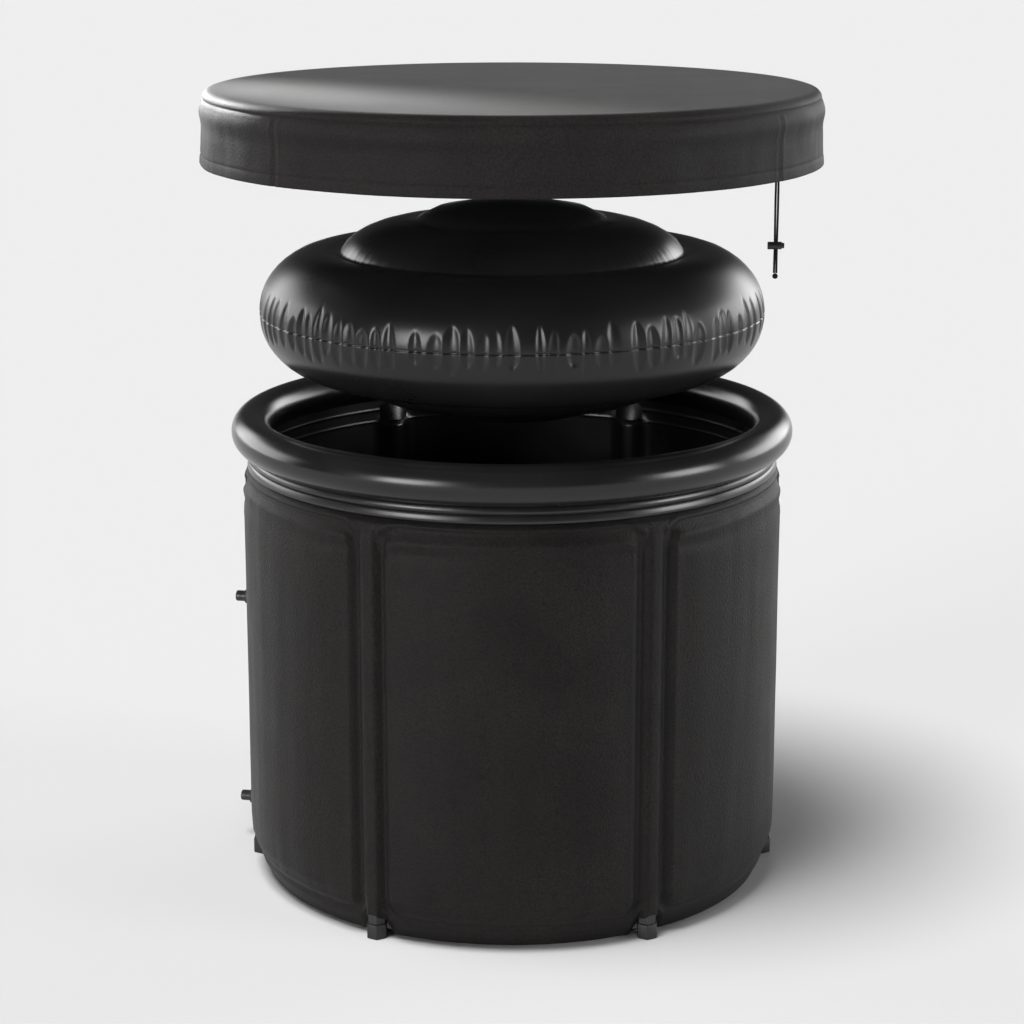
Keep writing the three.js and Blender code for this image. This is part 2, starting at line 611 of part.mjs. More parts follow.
const knot = new THREE.SphereGeometry(KNOT_RADIUS, 10, 6).rotateX(Math.PI / 2);
add('drawcord_knot', toSolid(knot.translate(tailX, tailY, knotZ)), 0x161616, 0.9);

// Cord lock: a barrel along X with a plunger that its spring pushes out
const slotX = tailReach + CORD_GAP;
const slotY = CORD_RADIUS + CORD_GAP;
const boreRadius = PLUNGER_RADIUS + CLEARANCE;
const plungerLow = -slotX - PLUNGER_END;
const plungerSlot = slotX + LOCK_TRAVEL;
const barrelHigh = plungerSlot + PLUNGER_END;
const plungerHigh = barrelHigh + LOCK_TRAVEL + BUTTON_REST;
const barrelFloor = plungerLow - LOCK_SPRING_ROOM;
const barrelLow = barrelFloor - LOCK_WALL;
const lockZ = COVER_Z - LOCK_DROP;
const alongX = (geometry) => geometry.rotateY(Math.PI / 2).translate(tailX, tailY, lockZ);
const slot = (low, high, depth) => {
  const box = new THREE.BoxGeometry(high - low, 2 * slotY, depth);
  return toSolid(box.translate(tailX + (low + high) / 2, tailY, lockZ));
};
const lockRadius = boreRadius + LOCK_WALL;
const barrel = toSolid(alongX(disc(lockRadius, barrelLow, barrelHigh, SMALL_FACETS)));
const barrelBore = toSolid(alongX(disc(boreRadius, barrelFloor, barrelHigh + LOCK_WALL, SMALL_FACETS)));
const lockBody = barrel.subtract(barrelBore).subtract(slot(-slotX, slotX, lockRadius * 4));
add('cord_lock_body', lockBody, 0x121213, 0.45);
const plunger = toSolid(alongX(disc(PLUNGER_RADIUS, plungerLow, plungerHigh, SMALL_FACETS)));
add('cord_lock_button', plunger.subtract(slot(-slotX, plungerSlot, lockRadius * 4)), 0x121213, 0.45);

const coil = [];
const coilSteps = Math.round(SPRING_TURNS * 8);
const coilRadius = PLUNGER_RADIUS - 2 * SPRING_WIRE;
const coilLow = barrelFloor + CLEARANCE + SPRING_WIRE;
const coilHigh = plungerLow - CLEARANCE - SPRING_WIRE;
for (let i = 0; i <= coilSteps; i += 1) {
  const angle = (i * Math.PI) / 4;
  const along = coilLow + ((coilHigh - coilLow) * i) / coilSteps;
  coil.push(new THREE.Vector3(coilRadius * Math.cos(angle), coilRadius * Math.sin(angle), along));
}
const wire = new THREE.Shape();
for (let i = 0; i < 5; i += 1) {
  const angle = (i * 2 * Math.PI) / 5;
  const step = i === 0 ? 'moveTo' : 'lineTo';
  wire[step](SPRING_WIRE * Math.cos(angle), SPRING_WIRE * Math.sin(angle));
}
wire.closePath();
const coilPath = new THREE.CatmullRomCurve3(coil);
const spring = new THREE.ExtrudeGeometry(wire, { steps: coilSteps, extrudePath: coilPath, bevelEnabled: false });
add('cord_lock_spring', toSolid(alongX(spring)), 0xb8bcc0, 0.3);

export default part;
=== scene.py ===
import math

import bpy
import numpy as np
from mathutils import Matrix, Vector, noise


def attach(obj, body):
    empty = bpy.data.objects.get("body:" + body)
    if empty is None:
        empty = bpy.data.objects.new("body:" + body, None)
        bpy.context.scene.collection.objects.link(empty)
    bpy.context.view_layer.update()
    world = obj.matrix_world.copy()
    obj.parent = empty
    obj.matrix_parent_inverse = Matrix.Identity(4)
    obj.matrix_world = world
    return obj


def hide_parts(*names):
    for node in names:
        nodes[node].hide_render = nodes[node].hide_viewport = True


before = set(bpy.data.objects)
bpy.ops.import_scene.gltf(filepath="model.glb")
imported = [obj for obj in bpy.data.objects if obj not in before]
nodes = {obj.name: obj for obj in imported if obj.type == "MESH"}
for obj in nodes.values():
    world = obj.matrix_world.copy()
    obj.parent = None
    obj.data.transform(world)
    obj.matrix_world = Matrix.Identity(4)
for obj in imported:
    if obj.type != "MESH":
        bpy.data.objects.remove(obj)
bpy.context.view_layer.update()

bpy.ops.object.select_all(action="DESELECT")


# Base of the tub: a round sheet of coated cloth under a disc of closed-cell foam.
# Both are cut flat and lie loose between the jacket's bottom lip and the liner.


def material(name, colour, second, roughness, spread=0.06, patch=5.0, grain=900.0,
             bump=0.2, depth=0.0003, speck=0.0, stretch=(1.0, 1.0, 1.0), sockets=None):
    """Mottled colour, uneven gloss and a fine grain, on the piece's own coordinates."""
    made = bpy.data.materials.new(name)
    made.use_nodes = True
    tree = made.node_tree
    shader = tree.nodes["Principled BSDF"]
    place = tree.nodes.new("ShaderNodeTexCoord")
    fit = tree.nodes.new("ShaderNodeMapping")
    fit.inputs["Scale"].default_value = stretch
    tree.links.new(place.outputs["Object"], fit.inputs["Vector"])
    mottle = tree.nodes.new("ShaderNodeTexNoise")
    mottle.inputs["Scale"].default_value = patch
    mottle.inputs["Detail"].default_value = 5
    tree.links.new(fit.outputs["Vector"], mottle.inputs["Vector"])
    tint = tree.nodes.new("ShaderNodeValToRGB")
    tint.color_ramp.elements[0].position = 0.35
    tint.color_ramp.elements[1].position = 0.68
    tint.color_ramp.elements[0].color = (*colour, 1)
    tint.color_ramp.elements[1].color = (*second, 1)
    tree.links.new(mottle.outputs["Fac"], tint.inputs["Fac"])
    gloss = tree.nodes.new("ShaderNodeMapRange")
    gloss.inputs["From Min"].default_value = 0.3
    gloss.inputs["From Max"].default_value = 0.7
    gloss.inputs["To Min"].default_value = roughness - spread
    gloss.inputs["To Max"].default_value = roughness + spread
    tree.links.new(mottle.outputs["Fac"], gloss.inputs["Value"])
    tree.links.new(gloss.outputs["Result"], shader.inputs["Roughness"])
    fine = tree.nodes.new("ShaderNodeTexNoise")
    fine.inputs["Scale"].default_value = grain
    fine.inputs["Detail"].default_value = 3
    tree.links.new(place.outputs["Object"], fine.inputs["Vector"])
    specks = tree.nodes.new("ShaderNodeMapRange")
    specks.inputs["From Min"].default_value = 0.3
    specks.inputs["From Max"].default_value = 0.7
    specks.inputs["To Min"].default_value = 1 - speck
    specks.inputs["To Max"].default_value = 1 + speck
    tree.links.new(fine.outputs["Fac"], specks.inputs["Value"])
    dyed = tree.nodes.new("ShaderNodeVectorMath")
    dyed.operation = "MULTIPLY"
    tree.links.new(tint.outputs["Color"], dyed.inputs[0])
    tree.links.new(specks.outputs["Result"], dyed.inputs[1])
    tree.links.new(dyed.outputs["Vector"], shader.inputs["Base Color"])
    relief = tree.nodes.new("ShaderNodeBump")
    relief.inputs["Strength"].default_value = bump
    relief.inputs["Distance"].default_value = depth
    tree.links.new(fine.outputs["Fac"], relief.inputs["Height"])
    tree.links.new(relief.outputs["Normal"], shader.inputs["Normal"])
    for socket, value in (sockets or {}).items():
        shader.inputs[socket].default_value = value
    return made


def dress(node, made):
    """Gives a CAD node its material."""
    nodes[node].data.materials.clear()
    nodes[node].data.materials.append(made)


jacket_cloth = material(
    "Coated cloth", (0.0066, 0.0056, 0.0053), (0.0098, 0.0086, 0.0081), 0.54, spread=0.06, patch=9.0,
    grain=330.0, bump=0.9, depth=0.0012, speck=0.6,
    sockets={"Specular IOR Level": 0.15, "Sheen Weight": 0.04, "Sheen Roughness": 0.35})
foam = material("Closed-cell foam", (0.55, 0.56, 0.57), (0.62, 0.63, 0.64), 0.9, grain=2200.0, bump=0.6)
dress("bottom_sheet", jacket_cloth)
dress("floor_pad", foam)


# Wall jacket: coated cloth sewn into six padded panels, with a narrow pole sleeve between them.
# The foam rounds each panel out, the seams draw the cloth in beside every sleeve and along the
# top and bottom, and the bottom edge folds under, cut out like a tent over each foot.

WALL = 0.425
LIP = 0.385
CLOTH = 0.0016
JACKET_BOTTOM = 0.005
JACKET_TOP = 0.6605
POLES = 6
FIRST_POLE = math.radians(30)
PANEL_MIDDLE = 0.3395
PANEL_HALF_TALL = 0.3055
PANEL_CORNER = 0.030
SLEEVE_HALF_WIDE = 0.0205
SLEEVE_FLOOR = 0.4155
FOOT_CUT = 0.025
FOLD_TOP = 0.06
PORT_TURN = math.radians(260)
UPPER_PORT = 0.415
DRAIN_PORT = 0.068
SAME_PLACE = 0.000004


def points(piece):
    """The piece's vertices, one row each."""
    place = np.empty(len(piece.data.vertices) * 3)
    piece.data.vertices.foreach_get("co", place)
    return place.reshape(-1, 3)


def reshape(piece, place):
    """Moves the piece's vertices to new places."""
    piece.data.vertices.foreach_set("co", np.asarray(place, dtype=float).ravel())
    piece.data.update()


def turned(name, outline, steps):
    """Spins a section, given as (radius, height) points, once round the Z axis."""
    loop = outline[:-1] if outline[0] == outline[-1] else outline
    bpy.ops.object.select_all(action="DESELECT")
    bpy.ops.mesh.primitive_circle_add(vertices=len(loop))
    piece = bpy.context.object
    piece.name = name
    reshape(piece, [(r, 0, z) for r, z in loop])
    spin = piece.modifiers.new("Spin", "SCREW")
    spin.steps = spin.render_steps = steps
    spin.use_merge_vertices = True
    spin.merge_threshold = SAME_PLACE
    bpy.ops.object.modifier_apply(modifier=spin.name)
    bpy.ops.object.mode_set(mode="EDIT")
    bpy.ops.mesh.select_all(action="SELECT")
    bpy.ops.mesh.remove_doubles(threshold=SAME_PLACE)
    bpy.ops.mesh.delete_loose(use_verts=True, use_edges=True, use_faces=False)
    bpy.ops.mesh.select_all(action="SELECT")
    bpy.ops.mesh.normals_make_consistent(inside=False)
    bpy.ops.object.mode_set(mode="OBJECT")
    return piece


def smooth(piece, angle=180):
    """Shades smooth, apart from edges sharper than the angle in degrees."""
    bpy.ops.object.select_all(action="DESELECT")
    piece.select_set(True)
    bpy.context.view_layer.objects.active = piece
    if angle >= 180:
        bpy.ops.object.shade_smooth()
    else:
        bpy.ops.object.shade_smooth_by_angle(angle=math.radians(angle))


def finish(piece, made, body, slot, *replaced):
    """Gives a new piece its material and body, and hides the CAD nodes that it stands for. The slot argument is
    not used.
    """
    piece.data.materials.clear()
    piece.data.materials.append(made)
    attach(piece, body)
    if replaced:
        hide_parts(*replaced)
    return piece


def rise(value, low, high):
    """0 below low, 1 above high, eased between."""
    share = np.clip((value - low) / (high - low), 0, 1)
    return share * share * (3 - 2 * share)


def bell(value, middle, width):
    """1 at the middle, falling off on both sides."""
    return np.exp(-(((value - middle) / width) ** 2))


def ripple(azimuth, height, around, up, seed):
    """Smooth seeded noise on a cylinder, from -1 to 1."""
    return np.array([
        noise.noise((around * math.cos(a), around * math.sin(a) + seed, up * z))
        for a, z in zip(azimuth, height)])


rows = [*np.arange(JACKET_BOTTOM, 0.07, 0.003), *np.arange(0.07, 0.6, 0.0105)]
rows += [*np.arange(0.6, JACKET_TOP, 0.0024)]
section = [(LIP, JACKET_BOTTOM + CLOTH), (LIP, JACKET_BOTTOM)]
section += [(WALL, z) for z in rows] + [(WALL, JACKET_TOP)]
section += [(WALL - CLOTH, z) for z in (JACKET_TOP, 0.652, 0.64, 0.6, 0.35, 0.067, 0.042, 0.022)]
section += [(WALL - CLOTH, JACKET_BOTTOM + CLOTH), (LIP, JACKET_BOTTOM + CLOTH)]
jacket = turned("wall_jacket_cloth", section, 480)

place = points(jacket)
radius = np.hypot(place[:, 0], place[:, 1])
height = place[:, 2].copy()
turn = np.arctan2(place[:, 0], -place[:, 1])
sector = math.tau / POLES
near = (turn - FIRST_POLE + sector / 2) % sector - sector / 2
share = np.abs(near) / (sector / 2)
tight = math.radians(5.6)
drawn = np.where(share < 0.5, share * 2 * tight, tight + (share - 0.5) * 2 * (sector / 2 - tight))
turn = turn - near + np.sign(near) * drawn
beside = drawn * WALL

inset = np.interp(height, [0.005, 0.0217, 0.0422, 0.067, 0.6408, 0.6526, 0.6605],
                  [0.024, 0.0163, 0.0077, 0, 0, 0.0035, 0.010])
half_wide = sector / 2 * WALL - SLEEVE_HALF_WIDE
across = (sector / 2 * WALL - beside) - (half_wide - PANEL_CORNER)
upright = np.abs(height - PANEL_MIDDLE) - (PANEL_HALF_TALL - PANEL_CORNER)
rim_of_panel = np.hypot(np.maximum(across, 0), np.maximum(upright, 0))
rim_of_panel = rim_of_panel + np.minimum(np.maximum(across, upright), 0) - PANEL_CORNER
by_side = rise(across - upright, -0.02, 0.02)
seam = np.where(rim_of_panel > 0, bell(rim_of_panel, 0, 0.0062), bell(rim_of_panel, 0, 0.0125))
wall = WALL - inset - seam * (0.0050 + 0.0042 * by_side)
wall += 0.0015 * bell(rim_of_panel, -0.015, 0.006) + 0.0012 * bell(rim_of_panel, 0.010, 0.004) * (1 - by_side)
padding = 0.0030 * rise(-rim_of_panel, 0.012, 0.075)
wall += padding * rise(height, 0.03, 0.12) * (1 - rise(height, 0.58, 0.645))
near_corner = np.exp(-(np.maximum(-across, 0) / 0.09) ** 2)
wall += 0.0012 * near_corner * rise(-rim_of_panel, 0.004, 0.012) * (
    bell(height, 0.624, 0.006) - 0.8 * bell(height, 0.611, 0.006) + 0.6 * bell(height, 0.597, 0.007))
wrinkle = ripple(turn, height, 14.0, 2.5, 1.0) * 0.0009 + ripple(turn, height, 44.0, 7.0, 9.0) * 0.0004
pull = ripple(turn, height, 64.0, 2.0, 4.0) * np.exp(-np.maximum(-rim_of_panel, 0) / 0.035) * 0.0010
wall += (wrinkle + pull) * rise(-rim_of_panel, 0.002, 0.014)
wall = np.maximum(wall, np.interp(height, [0.005, 0.03, 0.64, 0.6605], [0.400, 0.4127, 0.4127, 0.4145]))
sleeve = 1 - rise(beside, 0.0085, 0.0185)
sleeve *= rise(height, 0.012, 0.022) * (1 - rise(height, 0.636, 0.65))
crown = WALL + 0.0002 - 0.0030 * (beside / 0.0115) ** 4 * (beside < 0.02)
crown -= 0.0005 * bell(height, 0.637, 0.005) + 0.0004 * bell(height, 0.34, 0.5) * np.sin(height * 90 + turn * 3)
wall = wall + (np.maximum(crown, SLEEVE_FLOOR) - wall) * sleeve
for level in (UPPER_PORT, DRAIN_PORT):
    off = np.abs((turn - PORT_TURN + math.pi) % math.tau - math.pi) * WALL
    clamp = 1 - rise(np.hypot(off, height - level), 0.016, 0.045)
    wall = wall + (np.minimum(wall, WALL) - wall) * clamp
shell = np.where(radius > 0.4, wall - np.where(radius < WALL - CLOTH / 2, CLOTH, 0), radius)
edge = JACKET_BOTTOM + FOOT_CUT * (1 - np.clip((beside - 0.006) / 0.022, 0, 1))
stretched = edge + (height - JACKET_BOTTOM) * (FOLD_TOP - edge) / (FOLD_TOP - JACKET_BOTTOM)
lifted = np.where(height < FOLD_TOP, stretched, height)
place[:, 0], place[:, 1], place[:, 2] = shell * np.sin(turn), -shell * np.cos(turn), lifted
reshape(jacket, place)
smooth(jacket, 60)
finish(jacket, jacket_cloth, "tub", "jacket_cloth", "wall_jacket")


# Foam pads: six curved slabs of closed-cell foam, one slipped into each panel of the jacket.
# They are cut from sheet, bent to the wall and rounded along the edges.

PAD_HALF = (sector / 2 * WALL - 0.049) / WALL
PAD_CIRCLE = 0.4163
PAD_HALF_THICK = 0.0048
PAD_MIDDLE = 0.345
PAD_TALL = 0.53
for number in range(1, POLES + 1):
    bpy.ops.object.select_all(action="DESELECT")
    bpy.ops.mesh.primitive_cube_add(size=1)
    pad = bpy.context.object
    pad.name = f"foam_slab_{number}"
    bpy.ops.object.mode_set(mode="EDIT")
    bpy.ops.mesh.select_all(action="SELECT")
    bpy.ops.mesh.subdivide(number_cuts=23)
    bpy.ops.object.mode_set(mode="OBJECT")
    place = points(pad)
    turn = math.radians(60 * number - 60) + 2 * PAD_HALF * place[:, 0]
    rounding = 0.0015 * (rise(np.abs(place[:, 0]), 0.46, 0.5) + rise(np.abs(place[:, 2]), 0.48, 0.5))
    thick = PAD_CIRCLE + 2 * place[:, 1] * (PAD_HALF_THICK - rounding)
    upright = PAD_MIDDLE + PAD_TALL * place[:, 2]
    reshape(pad, np.stack([thick * np.sin(turn), -thick * np.cos(turn), upright], axis=1))
    bpy.ops.object.mode_set(mode="EDIT")
    bpy.ops.mesh.select_all(action="SELECT")
    bpy.ops.mesh.normals_make_consistent(inside=False)
    bpy.ops.object.mode_set(mode="OBJECT")
    smooth(pad, 60)
    finish(pad, foam, "tub", "foam", f"foam_pad_{number}")


# Poles: six hexagonal plastic tubes in the sleeves, each with a moulded plug in its top.
# Each stands in a moulded rubber foot, hexagonal too and rounded along its edges, with a flat
# side outwards; the feet carry the tub.

pole_plastic = material("Pole plastic", (0.010, 0.010, 0.0107), (0.014, 0.014, 0.015), 0.5, grain=600.0)
foot_rubber = material("Foot rubber", (0.004, 0.004, 0.0042), (0.007, 0.007, 0.0073), 0.55, spread=0.08,
                       patch=30.0, grain=1500.0, bump=0.4)
for number in range(1, POLES + 1):
    dress(f"pole_{number}", pole_plastic)
    dress(f"pole_plug_{number}", pole_plastic)

FOOT_RADIUS = 0.017
FOOT_TALL = 0.024
FOOT_ROUNDING = 0.0016
POLE_CIRCLE = 0.41054
FLAT_OUTWARDS = math.radians(30)
for number in range(1, POLES + 1):
    bpy.ops.object.select_all(action="DESELECT")
    bpy.ops.mesh.primitive_cylinder_add(vertices=6, radius=FOOT_RADIUS, depth=FOOT_TALL,
                                        location=(0, 0, FOOT_TALL / 2))
    foot = bpy.context.object
    foot.name = f"foot_rubber_{number}"
    bpy.ops.object.transform_apply(location=True)
    bpy.ops.object.mode_set(mode="EDIT")
    bpy.ops.mesh.select_all(action="SELECT")
    bpy.ops.mesh.bevel(offset=FOOT_ROUNDING, segments=3, affect="EDGES")
    bpy.ops.object.mode_set(mode="OBJECT")
    azimuth = math.radians(60 * number - 30)
    spot = Matrix.Translation((POLE_CIRCLE * math.sin(azimuth), -POLE_CIRCLE * math.cos(azimuth), 0))
    foot.data.transform(spot @ Matrix.Rotation(azimuth + FLAT_OUTWARDS, 4, "Z"))
    smooth(foot, 40)
    finish(foot, foot_rubber, "tub", "foot_rubber", f"foot_{number}")


# Inner liner: black PVC sheet welded into a bag with a flat floor.
# It is drawn over the poles from inside, so each one stands out as a bump, and two weld
# lines run round it below the rim.

liner_pvc = material("Liner PVC", (0.0045, 0.0045, 0.005), (0.008, 0.008, 0.0085), 0.3, spread=0.05,
                     patch=12.0, grain=260.0, bump=0.12, depth=0.0006, sockets={"Specular IOR Level": 0.5})
LINER = 0.4092
SKIN = 0.0012
POLE_BUMP = 0.0153
inner = [(0, 0.0213), (0.2, 0.0213), (0.36, 0.0213), (0.382, 0.0222), (0.392, 0.026), (0.4, 0.034)]
inner += [(0.4062, 0.046)]
inner += [(LINER - SKIN, z) for z in (0.06, 0.1, 0.2, 0.3, 0.4, 0.5, 0.58)]
inner += [(LINER - SKIN, z) for z in np.arange(0.6, 0.6885, 0.0016)]
outer = [(LINER, 0.6877), (LINER, 0.64), (LINER, 0.4), (LINER, 0.2), (LINER, 0.06), (0.4074, 0.0455)]
outer += [(0.4012, 0.033), (0.3928, 0.0249), (0.3822, 0.021), (0.36, 0.0201), (0.2, 0.0201), (0, 0.0201)]
liner = turned("liner_bag", inner + outer, 360)
place = points(liner)
radius = np.hypot(place[:, 0], place[:, 1])
turn = np.arctan2(place[:, 0], -place[:, 1])
near = np.abs((turn - FIRST_POLE + sector / 2) % sector - sector / 2) * LINER
reach = POLE_BUMP * (1 - rise(near, 0.006, 0.036)) * (1 - rise(place[:, 2], 0.643, 0.667))
inner_face = radius < LINER - SKIN / 2
bumped = np.minimum(radius, LINER - reach - np.where(inner_face, SKIN, 0))
slack = ripple(turn, place[:, 2], 9.0, 5.0, 3.0) * 0.0012 * bell(place[:, 2], 0.35, 0.25)
lines = 0.0009 * (bell(place[:, 2], 0.672, 0.0016) + bell(place[:, 2], 0.652, 0.0016))
bumped = np.where(radius > 0.3, bumped - np.where(inner_face, np.abs(slack) + lines, 0), radius)
bumped = np.maximum(bumped, 0)
place[:, 0], place[:, 1] = bumped * np.sin(turn), -bumped * np.cos(turn)
reshape(liner, place)
smooth(liner, 60)
finish(liner, liner_pvc, "tub", "liner_pvc", "inner_liner")


# Collar: a welded PVC band that joins jacket and liner under the rim.
# Its upper half shows above the jacket, with two rolled lips and a dark line between them.

collar_pvc = material("Collar PVC", (0.0065, 0.0065, 0.0068), (0.0100, 0.0100, 0.0105), 0.30, spread=0.06,
                      patch=8.0, grain=300.0, bump=0.1, sockets={"Specular IOR Level": 0.5})
collar_outline = [(0.4113, 0.6408), (0.4131, 0.6408), (0.4131, 0.6600), (0.4150, 0.6612), (0.4180, 0.6622),
                  (0.4192, 0.6640), (0.4189, 0.6670), (0.4182, 0.6705), (0.4173, 0.6738), (0.4160, 0.6752),
                  (0.4144, 0.6758), (0.4144, 0.6764), (0.4160, 0.6770), (0.4172, 0.6786), (0.4170, 0.6808),
                  (0.4164, 0.6832), (0.4154, 0.6852), (0.4140, 0.6868), (0.4131, 0.6878), (0.4113, 0.6878),
                  (0.4113, 0.6408)]
collar = turned("collar_lips", collar_outline, 256)
smooth(collar, 50)
finish(collar, collar_pvc, "tub", "rim_pvc", "collar_band")


# Rim: a blown PVC tube, welded to the collar, smooth and tight with air.
# A flat air valve with a push-in plug sits on its back.

rim_pvc = material("Rim PVC", (0.0060, 0.0060, 0.0064), (0.0090, 0.0090, 0.0095), 0.24, spread=0.05,
                   patch=6.0, grain=220.0, bump=0.08, depth=0.0005, sockets={"Specular IOR Level": 0.42})
RIM_CIRCLE = 0.412
RIM_MIDDLE = 0.719
RIM_TUBE = 0.0308
bpy.ops.object.select_all(action="DESELECT")
bpy.ops.mesh.primitive_torus_add(location=(0, 0, RIM_MIDDLE), major_radius=RIM_CIRCLE, minor_radius=RIM_TUBE,
                                 major_segments=288, minor_segments=48)
rim = bpy.context.object
rim.name = "rim_tube"
bpy.ops.object.transform_apply(location=True)
place = points(rim)
turn = np.arctan2(place[:, 0], -place[:, 1])
level = np.full(len(turn), RIM_MIDDLE)
middle = np.stack([RIM_CIRCLE * np.sin(turn), -RIM_CIRCLE * np.cos(turn), level], axis=1)
fat = 1 + 0.0025 * np.sin(3 * turn + 1) + 0.0015 * np.sin(7 * turn)
place = middle + (place - middle) * fat[:, None]
reshape(rim, place)
smooth(rim)
finish(rim, rim_pvc, "tub", "rim_pvc", "rim_ring")

valve_plastic = material("Valve plastic", (0.014, 0.014, 0.015), (0.022, 0.022, 0.023), 0.4, patch=40.0,
                         grain=1200.0)
for node in ("rim_valve_body", "rim_valve_plug", "lid_valve_body", "lid_valve_plug"):
    dress(node, valve_plastic)


# Hose ports: moulded tubes through the wall, with a hexagonal nut outside and a screw cap.
# The cap has a ribbed skirt for the fingers and a plain round nose; a gasket seals the head inside.

port_plastic = material("Port plastic", (0.012, 0.012, 0.0125), (0.020, 0.020, 0.021), 0.38, spread=0.07,
                        patch=50.0, grain=1500.0, bump=0.25)
gasket_rubber = material("Gasket rubber", (0.010, 0.010, 0.010), (0.016, 0.016, 0.016), 0.7, grain=1800.0)
NUT_RADIUS = 0.0135
NUT_BACK = 0.4253
NUT_THICK = 0.0055
NUT_ROUNDING = 0.0007
SKIRT_FROM = 0.0115
RIBS = 24
RIB_DEPTH = 0.035
cap_outline = [(0.0071, 0.4311), (0.0118, 0.4311), (0.0122, 0.4316), (0.0122, 0.4345), (0.0122, 0.4375),
               (0.0122, 0.4405), (0.0122, 0.4426), (0.0117, 0.4434), (0.0107, 0.4436), (0.0092, 0.4439),
               (0.0088, 0.4447), (0.00875, 0.4500), (0.00875, 0.4570), (0.0083, 0.4586), (0.0072, 0.4594),
               (0.0055, 0.4596), (0.0, 0.4596), (0.0, 0.4400), (0.0071, 0.4400), (0.0071, 0.4311)]
outward = Vector((math.sin(PORT_TURN), -math.cos(PORT_TURN), 0))
sideways = Vector((math.cos(PORT_TURN), math.sin(PORT_TURN), 0))
for port, level in (("upper_port", UPPER_PORT), ("drain_port", DRAIN_PORT)):
    aim = Matrix((sideways, Vector((0, 0, 1)), outward)).transposed().to_4x4()
    aim.translation = (0, 0, level)
    dress(f"{port}_body", port_plastic)
    dress(f"{port}_gasket", gasket_rubber)
    bpy.ops.object.select_all(action="DESELECT")
    bpy.ops.mesh.primitive_circle_add(vertices=6, radius=NUT_RADIUS, location=(0, 0, 0))
    nut = bpy.context.object
    nut.name = f"{port}_hex_nut"
    bpy.ops.object.mode_set(mode="EDIT")
    bpy.ops.mesh.select_all(action="SELECT")
    bpy.ops.transform.translate(value=(0, 0, NUT_BACK))
    bpy.ops.mesh.extrude_region_move(TRANSFORM_OT_translate={"value": (0, 0, NUT_THICK)})
    bpy.ops.mesh.extrude_region_move(TRANSFORM_OT_translate={"value": (0, 0, 0)})
    bpy.ops.transform.resize(value=(0.5, 0.5, 1), center_override=(0, 0, NUT_BACK + NUT_THICK))
    bpy.ops.mesh.extrude_region_move(TRANSFORM_OT_translate={"value": (0, 0, -NUT_THICK)})
    bpy.ops.mesh.select_all(action="DESELECT")
    bpy.ops.mesh.select_non_manifold()
    bpy.ops.mesh.bridge_edge_loops()
    bpy.ops.mesh.select_all(action="SELECT")
    bpy.ops.mesh.normals_make_consistent(inside=False)
    bpy.ops.mesh.bevel(offset=NUT_ROUNDING, segments=2, affect="EDGES")
    bpy.ops.object.mode_set(mode="OBJECT")
    nut.data.transform(aim)
    smooth(nut, 40)
    finish(nut, port_plastic, "tub", "port_plastic", f"{port}_nut")

    cap = turned(f"{port}_ribbed_cap", cap_outline, 96)
    place = points(cap)
    radius = np.hypot(place[:, 0], place[:, 1])
    turn = np.arctan2(place[:, 0], place[:, 1])
    rib = np.where(radius > SKIRT_FROM, 1 - RIB_DEPTH * (0.5 + 0.5 * np.cos(RIBS * turn)), 1)
    place[:, 0] *= rib
    place[:, 1] *= rib
    reshape(cap, place)
    cap.data.transform(aim)
    smooth(cap, 40)
    finish(cap, port_plastic, f"{port}_cap", "port_plastic", f"{port}_cap")


# Lid: two discs of black PVC welded at the edge and blown up, held in two tiers by inner webs.
# The weld gathers the skin, so short upright puckers stand all along it, above and below.

lid_pvc = material("Lid PVC", (0.0085, 0.0085, 0.0090), (0.0115, 0.0115, 0.0121), 0.30, spread=0.04, patch=5.0,
                   grain=240.0, bump=0.06, depth=0.0005, sockets={"Specular IOR Level": 0.32})
LID_MIDDLE = 0.906
LID_TUBE = 0.096
LID_CENTRE = 0.299
LID_RADIUS = 0.395
FIRST_CREASE, SECOND_CREASE = 0.268, 0.148
FIRST_TIER, SECOND_TIER = 0.0504, 0.030
WELD_HALF_WIDE = 0.0018
LID_CHANCE = 7
upper = []
weld_steps = [0, 0.006, 0.014, 0.026, 0.04]
for share in np.concatenate([weld_steps, np.linspace(0.056, 0.27, 14), np.linspace(0.32, 1, 10)]):
    angle = share * math.acos((FIRST_CREASE - LID_CENTRE) / LID_TUBE)
    upper.append((LID_CENTRE + LID_TUBE * math.cos(angle), LID_TUBE * math.sin(angle)))
crease = upper[-1][1]
for share in np.linspace(0.06, 1, 8):
    angle = share * math.pi / 2
    inward = 0.22 * share + 0.78 * (1 - math.cos(angle))
    reach = FIRST_CREASE - (FIRST_CREASE - SECOND_CREASE) * inward
    upper.append((reach, crease + FIRST_TIER * math.sin(angle)))
tier = upper[-1][1]
for share in np.linspace(0.08, 1, 4):
    angle = share * math.pi / 2
    reach = SECOND_CREASE * (0.88 * math.cos(angle) + 0.12 * (1 - share))
    upper.append((reach, tier + SECOND_TIER * math.sin(angle)))
upper[-1] = (0.0, tier + SECOND_TIER)
lid_outline = [(r, LID_MIDDLE - z) for r, z in reversed(upper)] + [(r, LID_MIDDLE + z) for r, z in upper[1:]]
lid = turned("lid_skins", lid_outline, 1260)
place = points(lid)
radius = np.hypot(place[:, 0], place[:, 1])
turn = np.arctan2(place[:, 0], -place[:, 1])
off = place[:, 2] - LID_MIDDLE
side = np.where(off >= 0, 1.0, -1.0)
chance = np.random.default_rng(LID_CHANCE)
pucker = np.zeros(len(turn))
edge_of_lid = radius > 0.34
azimuth = 0.0
